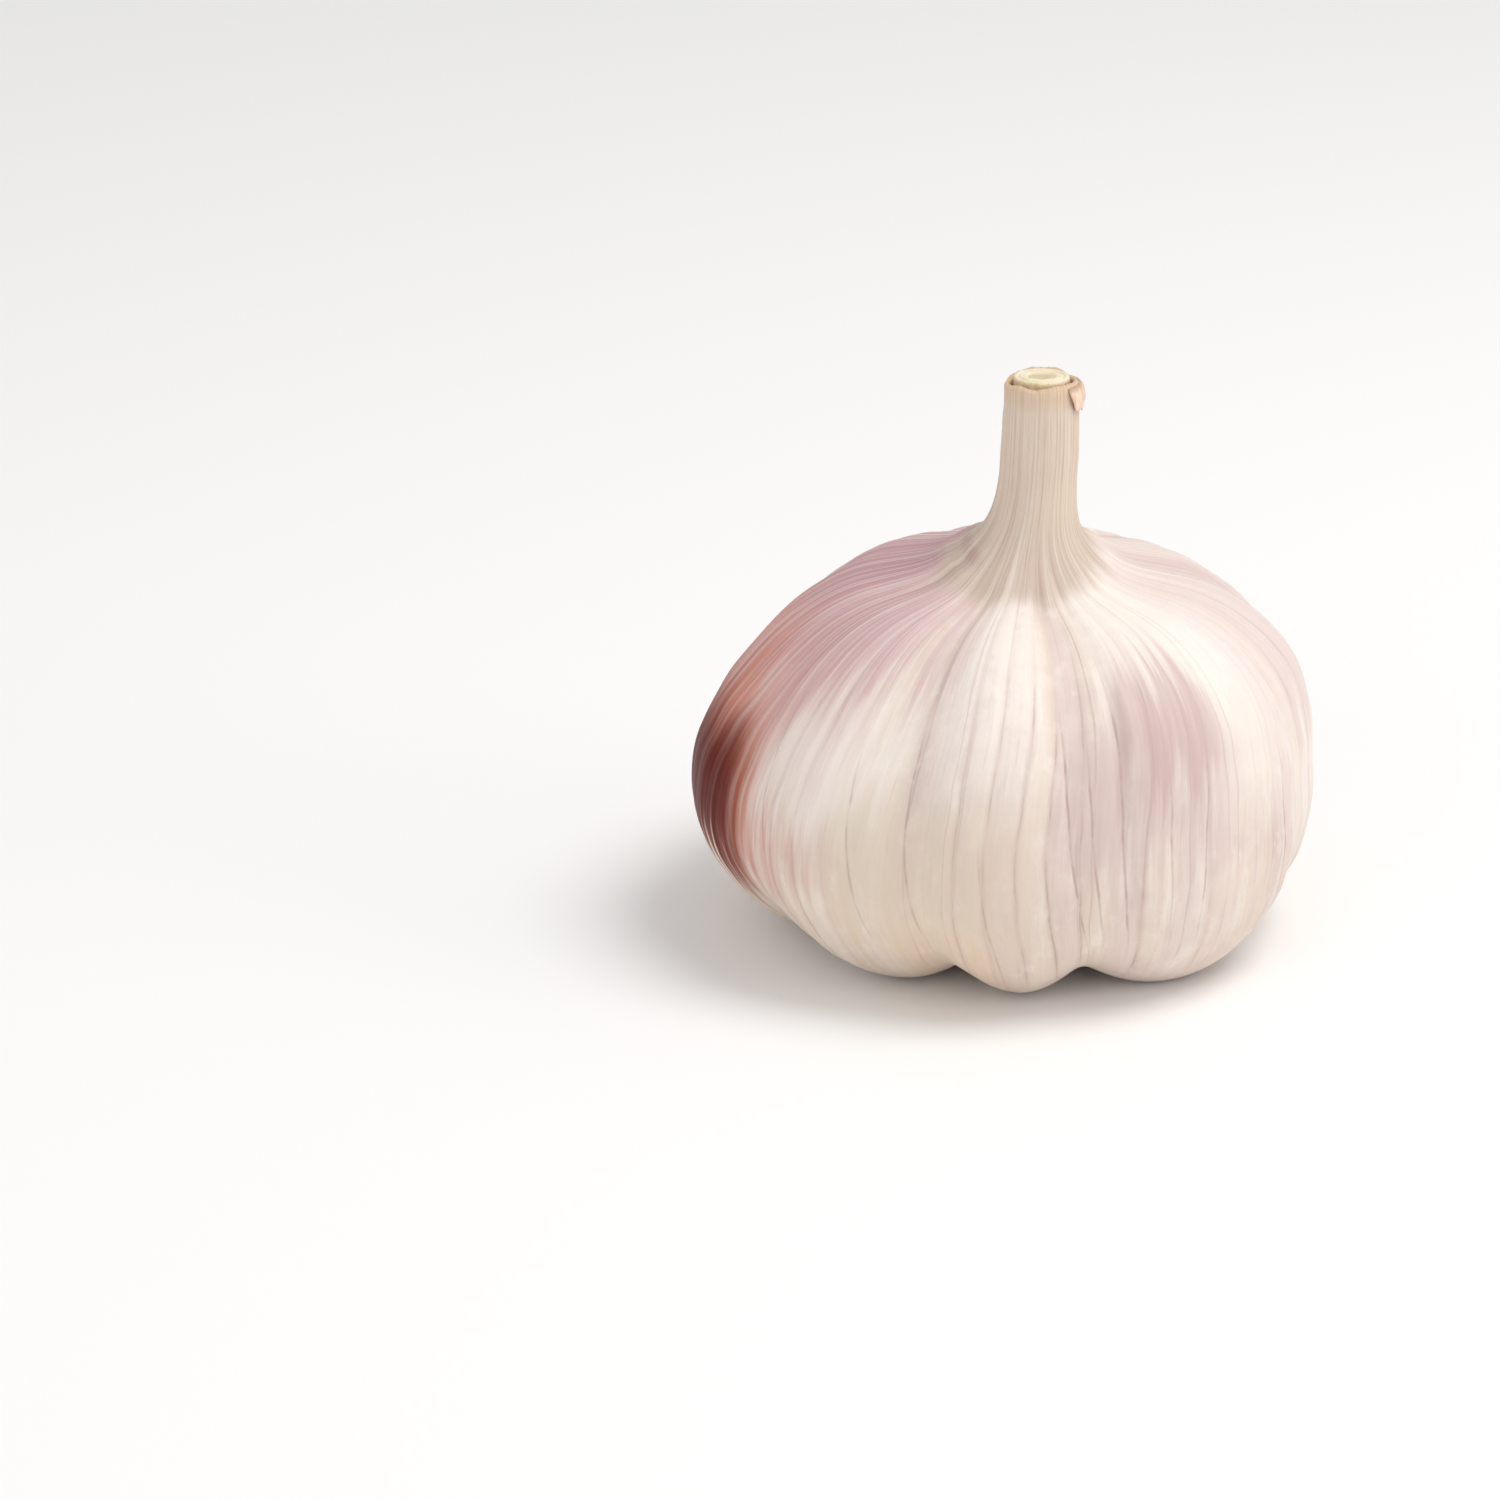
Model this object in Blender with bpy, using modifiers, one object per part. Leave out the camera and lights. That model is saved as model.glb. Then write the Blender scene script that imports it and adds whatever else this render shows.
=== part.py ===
# Garlic bulb, standing upright on its root plate, with the dried neck cut short.
# Frame: origin at the middle of the root plate's flat underside, +Z up along the neck,
# -Y towards the front clove, +X to the right of it. Metres.

import math
import random

import bmesh
import bpy
import numpy as np

mm = 0.001
clearance = 0.3 * mm           # gap between pieces that touch

# body
bellyRadius = 30.0 * mm        # largest radius, midway between a clove's crown and its grooves
bellyHeight = 13.3 * mm        # height of the largest radius
footRadius = 16.5 * mm         # ring on which the cloves stand
footHeight = 0.4 * mm          # height of that ring between crowns and grooves; crowns reach the floor
shoulderRadius = 12.3 * mm     # where the rounded body ends and the neck starts to flare
shoulderHeight = 34.2 * mm
bodyLean = -3.0 * mm           # the body's middle lies to one side of the neck

# neck
neckStraightFrom = 47.0 * mm   # above this height the neck no longer flares
neckFlare = 4.0                # how tightly the neck turns out into the shoulder
neckTop = 53.6 * mm            # rim of the cut skins
neckWall = 0.65 * mm           # the skins' thickness round the stalk

# cloves round the body: degrees that each takes up, and how far it stands out (or back, below zero)
# at the belly and at the shoulder, as a share of the groove depth there
firstGroove = -112.0
cloves = [
    (31, -0.05, 0.20),
    (62, 0.25, 0.25),
    (37, -0.10, -0.10),
    (35, 0.00, 0.00),
    (35, 0.05, 0.05),
    (33, 0.00, 0.00),
    (32, 0.00, 0.25),
    (52, 0.00, -0.50),
    (43, 0.00, -0.10),
]
grooveTwist = 8.0              # degrees that the grooves drift round from the shoulder down to the foot
grooveAtFoot = 3.8 * mm        # groove depths, crown to bottom
grooveAboveFoot = 1.9 * mm
grooveAtBelly = 1.1 * mm
grooveAtShoulder = 1.7 * mm
crownShare = 0.4               # share of a groove's depth that the crowns stand out
columnsPerClove = 4

# stalk: the cut stem that shows inside the mouth of the neck
stalkRadius = 2.65 * mm
stalkTop = 54.1 * mm
stalkLength = 10.0 * mm
pithRadius = 1.2 * mm
pithDepth = 0.25 * mm

neckRadius = stalkRadius + clearance + neckWall

# root plate: the corky disc underneath, with trimmed root stubs round its rim
plateRadius = 8.2 * mm
plateThickness = 3.0 * mm
plateEdge = 1.2 * mm           # width and height of the slope round its underside
stubCount = 16
stubRadius = 0.42 * mm
stubHeight = 0.70 * mm         # height of a stub's axis
stubReach = 1.5 * mm           # how far the longest stub passes the plate's rim
hollowRoom = 1.2 * mm          # space between the stubs and the body at the plate's rim


def clearScene():
    for old in list(bpy.data.objects):
        bpy.data.objects.remove(old, do_unlink=True)


def newCollection(name):
    made = bpy.data.collections.new(name)
    bpy.context.scene.collection.children.link(made)
    return made


def plainMaterial(name, colour, roughness):
    made = bpy.data.materials.new(name)
    made.use_nodes = True
    shader = made.node_tree.nodes["Principled BSDF"]
    shader.inputs["Base Color"].default_value = (*colour, 1.0)
    shader.inputs["Roughness"].default_value = roughness
    shader.inputs["Metallic"].default_value = 0.0
    return made


def meshObject(name, shape, collection):
    mesh = bpy.data.meshes.new(name)
    shape.to_mesh(mesh)
    shape.free()
    made = bpy.data.objects.new(name, mesh)
    collection.objects.link(made)
    return made


def finish(piece, material):
    piece.data.materials.append(material)
    piece.data.shade_smooth()
    piece.data.set_sharp_from_angle(angle=math.radians(40))


def asCutter(piece):
    piece.hide_render = True
    piece.display_type = "WIRE"
    return piece


def cylinderCutter(name, radius, low, high, collection):
    shape = bmesh.new()
    bmesh.ops.create_cone(shape, cap_ends=True, segments=48, radius1=radius, radius2=radius, depth=high - low)
    cutter = asCutter(meshObject(name, shape, collection))
    cutter.location.z = (low + high) / 2
    return cutter


def slabCutter(name, low, high, collection):
    size = 4 * bellyRadius
    shape = bmesh.new()
    bmesh.ops.create_cube(shape, size=1.0)
    bmesh.ops.scale(shape, vec=(size, size, high - low), verts=shape.verts)
    cutter = asCutter(meshObject(name, shape, collection))
    cutter.location.z = (low + high) / 2
    return cutter


def cut(piece, cutter):
    step = piece.modifiers.new(cutter.name, "BOOLEAN")
    step.operation = "DIFFERENCE"
    step.solver = "EXACT"
    step.object = cutter


def turned(name, profile, segments, collection):
    # the profile runs down the outer side at +X, from the axis back to the axis
    shape = bmesh.new()
    points = [shape.verts.new((radius, 0.0, height)) for radius, height in profile]
    for upper, lower in zip(points, points[1:]):
        shape.edges.new((upper, lower))
    made = meshObject(name, shape, collection)
    screw = made.modifiers.new("Turn", "SCREW")
    screw.steps = segments
    screw.render_steps = segments
    screw.use_merge_vertices = True
    screw.merge_threshold = 0.00001
    return made


# Body -------------------------------------------------------------------------

def bodyProfile():
    stubTop = stubHeight + stubRadius
    rimRing = plateRadius + stubReach + clearance
    rows = [
        (plateRadius - clearance, stubTop + hollowRoom),
        (rimRing, stubTop + 1.5 * clearance),
        ((rimRing + footRadius) / 2, (footHeight + stubTop) / 2),
    ]
    for angle in (0, 30, 60, 90):              # quarter ellipse from the foot out to the belly
        turn = math.radians(angle)
        radius = footRadius + (bellyRadius - footRadius) * math.sin(turn)
        height = footHeight + (bellyHeight - footHeight) * (1 - math.cos(turn))
        rows.append((radius, height))
    for angle in (20, 40, 60, 80):             # quarter ellipse from the belly in to the shoulder
        turn = math.radians(angle)
        radius = shoulderRadius + (bellyRadius - shoulderRadius) * math.cos(turn)
        height = bellyHeight + (shoulderHeight - bellyHeight) * math.sin(turn)
        rows.append((radius, height))
    for share in (0.10, 0.25, 0.45, 0.72):     # flare from the shoulder into the neck
        radius = neckRadius + (shoulderRadius - neckRadius) * (1 - share) ** neckFlare
        rows.append((radius, shoulderHeight + (neckStraightFrom - shoulderHeight) * share))
    for height in (neckStraightFrom, (neckStraightFrom + neckTop) / 2, neckTop + 3 * mm):
        rows.append((neckRadius, height))
    return rows


def turnCage(rows, columns):
    shape = bmesh.new()
    points = [shape.verts.new((radius, 0.0, height)) for radius, height in rows]
    edges = [shape.edges.new(pair) for pair in zip(points, points[1:])]
    bmesh.ops.spin(
        shape, geom=points + edges, cent=(0, 0, 0), axis=(0, 0, 1),
        angle=2 * math.pi, steps=columns, use_merge=True,
    )
    bmesh.ops.remove_doubles(shape, verts=shape.verts, dist=0.00001)
    bmesh.ops.recalc_face_normals(shape, faces=shape.faces)
    shape.normal_update()
    return shape


def grooveDepth(height):
    heights = [0.0, 0.4 * bellyHeight, bellyHeight, 0.8 * shoulderHeight, shoulderHeight, neckStraightFrom]
    depths = [grooveAtFoot, grooveAboveFoot, grooveAtBelly, grooveAtShoulder, 0.5 * grooveAtShoulder, 0.0]
    return float(np.interp(height, heights, depths))


def leanAt(height):
    heights = [0.0, 0.5 * bellyHeight, bellyHeight, 0.8 * shoulderHeight, shoulderHeight, neckStraightFrom]
    return bodyLean * float(np.interp(height, heights, [0.3, 0.8, 1.0, 0.45, 0.35, 0.0]))


def twistAt(height):
    return grooveTwist * float(np.interp(height, [0.0, 0.9 * shoulderHeight], [0.6, -0.4]))


def pressCloves(shape, columns):
    # each turned column moves to its clove's own direction, and in or out along the surface's normal
    starts = firstGroove + np.concatenate([[0], np.cumsum([width for width, belly, shoulder in cloves])])
    for vertex in shape.verts:
        height = vertex.co.z
        radius = math.hypot(vertex.co.x, vertex.co.y)
        around = math.atan2(vertex.co.y, vertex.co.x) % (2 * math.pi)
        column = round(around / (2 * math.pi) * columns) % columns
        number, step = divmod(column, columnsPerClove)
        width, bellyRise, shoulderRise = cloves[number]
        share = step / columnsPerClove
        direction = math.radians(starts[number] + width * share + twistAt(height))
        fromCrown = (2 * share - 1) ** 2
        away = min(max((radius - plateRadius) / (footRadius - plateRadius), 0.0), 1.0)
        if height > bellyHeight:
            away = 1.0
        rise = np.interp(height, [bellyHeight, 0.8 * shoulderHeight], [bellyRise, shoulderRise])
        push = grooveDepth(height) * away * (crownShare + rise * (1 - fromCrown) - fromCrown)
        slope = vertex.normal
        radius += push * math.hypot(slope.x, slope.y)
        vertex.co.x = radius * math.cos(direction) + leanAt(height) * away
        vertex.co.y = radius * math.sin(direction)
        vertex.co.z = height + push * slope.z


def makeBulb(collection, cutters):
    columns = len(cloves) * columnsPerClove
    shape = turnCage(bodyProfile(), columns)
    pressCloves(shape, columns)
    bmesh.ops.holes_fill(shape, edges=shape.edges, sides=0)
    bmesh.ops.recalc_face_normals(shape, faces=shape.faces)
    bulb = meshObject("bulb", shape, collection)

    smooth = bulb.modifiers.new("Smooth", "SUBSURF")
    smooth.levels = 1
    smooth.render_levels = 1

    above = neckTop + 10 * mm
    below = -10 * mm
    cut(bulb, slabCutter("neckCut", neckTop, above, cutters))
    cut(bulb, slabCutter("floorCut", below, 0.0, cutters))
    mouthFloor = stalkTop - stalkLength - clearance
    cut(bulb, cylinderCutter("mouth", stalkRadius + clearance, mouthFloor, above, cutters))
    recessTop = plateThickness + clearance
    cut(bulb, cylinderCutter("plateRecess", plateRadius + clearance, below, recessTop, cutters))
    finish(bulb, plainMaterial("Garlic skin", (0.80, 0.72, 0.69), 0.45))
    return bulb


# Stalk ------------------------------------------------------------------------

def makeStalk(collection):
    edge = 0.3 * mm
    bottom = stalkTop - stalkLength
    profile = [
        (0.0, stalkTop - pithDepth),
        (pithRadius, stalkTop - pithDepth),
        (pithRadius + pithDepth, stalkTop),
        (stalkRadius - edge, stalkTop),
        (stalkRadius, stalkTop - edge),
        (stalkRadius, bottom + edge),
        (stalkRadius - edge, bottom),
        (0.0, bottom),
    ]
    stalk = turned("stalk", profile, 32, collection)
    finish(stalk, plainMaterial("Cut stalk", (0.84, 0.74, 0.55), 0.7))
    return stalk


# Root plate -------------------------------------------------------------------

def makeStubs(collection):
    chance = random.Random(7)
    root = plateRadius - plateEdge
    for number in range(stubCount):
        reach = stubReach * chance.uniform(0.45, 1.0)
        length = plateEdge + reach
        direction = 2 * math.pi * (number + chance.uniform(-0.2, 0.2)) / stubCount
        shape = bmesh.new()
        bmesh.ops.create_cone(
            shape, cap_ends=True, segments=8, radius1=stubRadius, radius2=0.8 * stubRadius, depth=length,
        )
        stub = asCutter(meshObject("stub_%02d" % number, shape, collection))
        middle = root + length / 2
        stub.location = (middle * math.cos(direction), middle * math.sin(direction), stubHeight)
        stub.rotation_euler = (0.0, math.pi / 2, direction)


def makeRootPlate(collection, stubs):
    edge = 0.5 * mm
    profile = [
        (0.0, plateThickness),
        (plateRadius - edge, plateThickness),
        (plateRadius, plateThickness - edge),
        (plateRadius, plateEdge),
        (plateRadius - plateEdge, 0.0),
        (0.0, 0.0),
    ]
    plate = turned("root_plate", profile, 48, collection)
    makeStubs(stubs)
    union = plate.modifiers.new("Stubs", "BOOLEAN")
    union.operation = "UNION"
    union.solver = "EXACT"
    union.operand_type = "COLLECTION"
    union.collection = stubs
    finish(plate, plainMaterial("Corky root plate", (0.62, 0.45, 0.28), 0.85))
    return plate


def main():
    clearScene()
    garlic = newCollection("garlic bulb")
    cutters = newCollection("cutters")
    stubs = newCollection("stubs")
    makeBulb(garlic, cutters)
    makeStalk(garlic)
    makeRootPlate(garlic, stubs)


main()
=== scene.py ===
import math
import random

import bmesh
import bpy
from mathutils import Matrix, Vector


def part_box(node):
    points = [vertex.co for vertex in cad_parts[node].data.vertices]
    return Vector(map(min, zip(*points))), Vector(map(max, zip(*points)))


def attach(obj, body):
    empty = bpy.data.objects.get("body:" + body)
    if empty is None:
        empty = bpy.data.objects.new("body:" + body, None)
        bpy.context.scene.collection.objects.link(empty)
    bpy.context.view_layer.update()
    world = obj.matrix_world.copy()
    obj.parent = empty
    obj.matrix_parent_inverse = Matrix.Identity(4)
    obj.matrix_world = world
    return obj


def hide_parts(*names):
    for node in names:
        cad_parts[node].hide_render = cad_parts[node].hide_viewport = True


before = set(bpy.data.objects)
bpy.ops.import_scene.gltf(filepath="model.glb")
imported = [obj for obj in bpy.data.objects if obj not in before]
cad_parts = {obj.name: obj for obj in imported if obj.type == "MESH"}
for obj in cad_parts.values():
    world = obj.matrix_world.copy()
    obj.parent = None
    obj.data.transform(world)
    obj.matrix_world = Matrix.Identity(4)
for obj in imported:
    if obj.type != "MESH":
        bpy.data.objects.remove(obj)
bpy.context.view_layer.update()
mm = 0.001
mergeDistance = 0.002 * mm

bulbHigh = Vector(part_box("bulb")[1])
stalkLow, stalkHigh = (Vector(corner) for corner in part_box("stalk"))
plateHigh = Vector(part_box("root_plate")[1])


class Wire:
    # a socket of a node tree; sums on it add Math nodes to the tree
    def __init__(self, tree, socket=None):
        self.tree = tree
        self.socket = socket

    def node(self, kind, settings, sockets, out=0):
        made = self.tree.nodes.new(kind)
        for name, value in settings.items():
            if name == "stops":
                layStops(made.color_ramp, value)
            elif name == "points":
                layPoints(made.mapping, value)
            else:
                setattr(made, name, value)
        for place, value in sockets.items():
            if isinstance(value, Wire):
                self.tree.links.new(value.socket, made.inputs[place])
            elif isinstance(value, list):
                for part in value:
                    self.tree.links.new(part.socket, made.inputs[place])
            else:
                made.inputs[place].default_value = value
        return Wire(self.tree, made.outputs[out] if made.outputs else None)

    def other(self, out):
        return Wire(self.tree, self.socket.node.outputs[out])

    def maths(self, operation, *values):
        return self.node("ShaderNodeMath", {"operation": operation}, dict(enumerate(values)))

    def __add__(self, value):
        return self.maths("ADD", self, value)

    def __radd__(self, value):
        return self.maths("ADD", value, self)

    def __sub__(self, value):
        return self.maths("SUBTRACT", self, value)

    def __rsub__(self, value):
        return self.maths("SUBTRACT", value, self)

    def __mul__(self, value):
        return self.maths("MULTIPLY", self, value)

    def __rmul__(self, value):
        return self.maths("MULTIPLY", value, self)

    def __truediv__(self, value):
        return self.maths("DIVIDE", self, value)

    def __rtruediv__(self, value):
        return self.maths("DIVIDE", value, self)

    def __pow__(self, value):
        return self.maths("POWER", self, value)

    def __abs__(self):
        return self.maths("ABSOLUTE", self)

    def step(self, low, high):
        # 0 below low, 1 above high, eased between; low may be the larger
        reach = {"Value": self, "From Min": low, "From Max": high}
        return self.node("ShaderNodeMapRange", {"interpolation_type": "SMOOTHSTEP"}, reach)

    def curve(self, points):
        return self.node("ShaderNodeFloatCurve", {"points": points}, {"Value": self})

    def noise(self, scale, detail=2.0, rough=0.5):
        reach = {"Vector": self, "Scale": scale, "Detail": detail, "Roughness": rough}
        return self.node("ShaderNodeTexNoise", {}, reach)

    def chance(self):
        return self.node("ShaderNodeTexWhiteNoise", {"noise_dimensions": "1D"}, {"W": self})

    def vector(self, x, y, z):
        return self.node("ShaderNodeCombineXYZ", {}, {"X": x, "Y": y, "Z": z})

    def facing(self, cosine, sine, direction, half):
        # 1 towards a direction in degrees, eased to 0 at half that many degrees to each side
        turn = math.radians(direction)
        fore = cosine * math.cos(turn) + sine * math.sin(turn)
        return fore.step(math.cos(math.radians(half)), math.cos(math.radians(0.35 * half)))

    def times(self, x, y, z):
        return self.node("ShaderNodeVectorMath", {"operation": "MULTIPLY"}, {0: self, 1: (x, y, z)})

    def blend(self, first, second, way="MIX"):
        # this wire is the share of the second colour
        kind = {"data_type": "RGBA", "blend_type": way}
        return self.node("ShaderNodeMix", kind, {0: self, 6: first, 7: second}, 2)


def layStops(ramp, stops):
    while len(ramp.elements) > 1:
        ramp.elements.remove(ramp.elements[-1])
    for number, (place, colour) in enumerate(stops):
        stop = ramp.elements[0] if number == 0 else ramp.elements.new(place)
        stop.position = place
        stop.color = colour


def layPoints(mapping, points):
    curve = mapping.curves[0]
    for number, (x, y) in enumerate(points):
        if number < 2:
            curve.points[number].location = (x, y)
        else:
            curve.points.new(x, y)
    mapping.use_clip = False
    mapping.update()


def colour(red, green, blue):
    return (red, green, blue, 1.0)


def newMaterial(name, settings):
    material = bpy.data.materials.new(name)
    material.use_nodes = True
    shader = material.node_tree.nodes["Principled BSDF"]
    for socket, value in settings.items():
        shader.inputs[socket].default_value = value
    return material, shader, Wire(material.node_tree)


def feed(shader, **wires):
    places = {"colour": "Base Color", "roughness": "Roughness", "normal": "Normal"}
    for name, wire in wires.items():
        wire.tree.links.new(wire.socket, shader.inputs[places[name]])


def veinLines(wire, cosine, sine, turn, height, family):
    # distance to the nearest vein as a share of the space between two, that vein's chance and the strip's
    slow = wire.vector(cosine, sine, height * 9.0).noise(2.6, 1.0) - 0.5
    quick = wire.vector(cosine, sine, height * 24.0).noise(9.0, 1.0) - 0.5
    phase = turn * family["count"] + (slow * 1.3 + quick * 0.12) * family["wander"]
    nearest = phase.maths("ROUND", phase)
    strip = phase.maths("FLOOR", phase)
    count = float(family["count"])
    veinChance = (nearest.maths("FLOORED_MODULO", nearest, count) + family["seed"]).chance()
    stripChance = (strip.maths("FLOORED_MODULO", strip, count) + (family["seed"] + 0.37)).chance()
    return abs(phase - nearest), veinChance, stripChance


# how many go round the bulb, how far they stray from straight, and how wide their lines and haloes are
veins = {"count": 58, "wander": 1.0, "seed": 11.5, "line": 0.16 * mm, "halo": 0.55 * mm}
fineVeins = {"count": 137, "wander": 2.3, "seed": 41.5, "line": 0.14 * mm}


bulb = {
    "columns": 448,
    "rows": 190,
    "seamDirection": 90.0,
    "bellyRadius": 29.2 * mm,
    "bellyHeight": 14.2 * mm,
    "footRadius": 16.5 * mm,
    "footHeight": 0.9 * mm,
    "shoulderRadius": 12.0 * mm,
    "shoulderHeight": 34.1 * mm,
    "lean": -3.0 * mm,
    "twist": math.radians(8),            # grooves drift round by this from the shoulder down to the foot
    "neckRadius": 3.6 * mm,
    "neckStraightFrom": 47.0 * mm,
    "neckFlare": 4.0,
    "neckWall": 0.65 * mm,
    "rimRadius": 3.48 * mm,
    "rimSlope": 1.3 * mm,
    "rimRagged": 0.25 * mm,
    "mouthDepth": 6.0 * mm,
    "mouthShare": 0.885,                 # share of the profile's length at the foot of the mouth's wall
    "plateRadius": 8.2 * mm,
    "recessTop": 3.3 * mm,
    "crownShare": 0.36,
    "grooveDepth": 5.0 * mm,             # where the groove curve is at 1
    "grooveCurve": [                     # share of the height and of the depth; the two ends come first
        (0.0, 0.66), (1.0, 0.0), (0.06, 0.48), (0.14, 0.27), (0.27, 0.17), (0.42, 0.24),
        (0.53, 0.33), (0.60, 0.26), (0.65, 0.12), (0.70, 0.04), (0.86, 0.0),
    ],
    "leanCurve": [
        (0.0, 0.3), (1.0, 0.0), (0.13, 0.8), (0.26, 1.0),
        (0.40, 0.78), (0.53, 0.45), (0.66, 0.35), (0.88, 0.0),
    ],
    "softness": 1.05,                    # how round the grooves are
    "firstGroove": -112.0,
    "cloves": [                          # degrees that each takes up, rise at the belly and at the shoulder
        (31, -0.02, 0.28),
        (62, 0.25, 0.20),
        (37, -0.10, -0.10),
        (35, 0.00, 0.00),
        (35, 0.05, 0.05),
        (33, 0.00, 0.00),
        (32, 0.00, 0.12),
        (52, 0.00, -0.42),
        (43, 0.00, -0.10),
    ],
    "veinRelief": 0.10 * mm,
    "waveRelief": 0.55 * mm,
    "fibreRelief": 0.22 * mm,
    "backRise": 1.1 * mm,                # the cloves behind the neck stand higher against it
}


def bulbProfile():
    # from the middle of the recess, out under the body, up its side, over the rim and down the mouth
    plate = bulb["plateRadius"]
    foot = bulb["footRadius"]
    footHeight = bulb["footHeight"]
    belly = bulb["bellyRadius"]
    bellyHeight = bulb["bellyHeight"]
    shoulder = bulb["shoulderRadius"]
    shoulderHeight = bulb["shoulderHeight"]
    neck = bulb["neckRadius"]
    straight = bulb["neckStraightFrom"]
    rim = bulbHigh.z
    rows = [
        (0.0, bulb["recessTop"]),
        (0.5 * plate, bulb["recessTop"]),
        (0.97 * plate, bulb["recessTop"]),
        (plate + 0.3 * mm, bulb["recessTop"] - 0.4 * mm),
        (plate + 0.5 * mm, 2.5 * mm),
        (plate + 1.8 * mm, 1.9 * mm),
        ((plate + foot) / 2 + mm, footHeight + 0.35 * mm),
    ]
    for angle in range(0, 91, 15):             # quarter ellipse from the foot out to the belly
        turn = math.radians(angle)
        height = footHeight + (bellyHeight - footHeight) * (1 - math.cos(turn))
        rows.append((foot + (belly - foot) * math.sin(turn), height))
    for angle in range(15, 76, 15):            # quarter ellipse from the belly in to the shoulder
        turn = math.radians(angle)
        height = bellyHeight + (shoulderHeight - bellyHeight) * math.sin(turn)
        rows.append((shoulder + (belly - shoulder) * math.cos(turn), height))
    for share in (0.06, 0.17, 0.32, 0.5, 0.75, 1.0):      # flare from the shoulder into the neck
        radius = neck + (shoulder - neck) * (1 - share) ** bulb["neckFlare"]
        rows.append((radius, shoulderHeight + (straight - shoulderHeight) * share))
    top = bulb["rimRadius"]
    inner = neck - bulb["neckWall"]
    mouthFloor = rim - bulb["mouthDepth"]
    middle = (top + inner) / 2
    rows += [
        (top, rim - 1.2 * mm),
        (top, rim - 0.22 * mm),
        (middle, rim),
        (inner, rim - 0.25 * mm),
        (inner, rim - 1.2 * mm),
        (inner, mouthFloor + mm),
        (inner - 0.5 * mm, mouthFloor),
        (0.0, mouthFloor),
    ]
    return rows


def profileCurve(name, rows):
    data = bpy.data.curves.new(name, "CURVE")
    data.dimensions = "3D"
    line = data.splines.new("POLY")
    line.points.add(len(rows) - 1)
    for point, (radius, height) in zip(line.points, rows):
        point.co = (radius, 0.0, height, 1.0)
    made = bpy.data.objects.new(name, data)
    bpy.context.scene.collection.objects.link(made)
    return made


def treeInput(tree, name, kind, value):
    socket = tree.interface.new_socket(name=name, in_out="INPUT", socket_type="NodeSocket" + kind)
    if value is not None:
        socket.default_value = value
    return socket


def clovePush(wire, cosine, sine, height, radius, sizes):
    # how far the surface stands out over a clove's crown or lies back in a groove, before any skin detail
    share = height / bulbHigh.z
    upper = height.step(sizes["Belly height"], 0.8 * bulb["shoulderHeight"])
    crown = None
    start = bulb["firstGroove"]
    for width, belly, shoulder in bulb["cloves"]:
        middle = math.radians(start + width / 2)
        half = math.radians(width / 2)
        start += width
        toward = cosine * math.cos(middle) + sine * math.sin(middle)
        fromCrown = (1 - toward) * (2 / half ** 2)
        lobe = (1 - fromCrown) * (upper * (shoulder - belly) + (1 + belly))
        crown = lobe if crown is None else wire.maths("SMOOTH_MAX", crown, lobe, bulb["softness"])
    depth = share.curve(bulb["grooveCurve"]) * bulb["grooveDepth"]
    away = (radius - sizes["Plate radius"]) / (sizes["Foot radius"] - sizes["Plate radius"])
    away = away.maths("MINIMUM", away.maths("MAXIMUM", away, 0.0), 1.0)
    away = away.maths("MAXIMUM", away, height.step(4 * mm, 9 * mm))
    atBack = wire.facing(cosine, sine, 96, 105) * height.step(24 * mm, 34 * mm)
    push = depth * away * (1 - atBack * 0.7) * (crown + (bulb["crownShare"] - 1.0))
    lean = share.curve(bulb["leanCurve"]) * away * sizes["Lean"]
    return push, lean, crown


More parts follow.
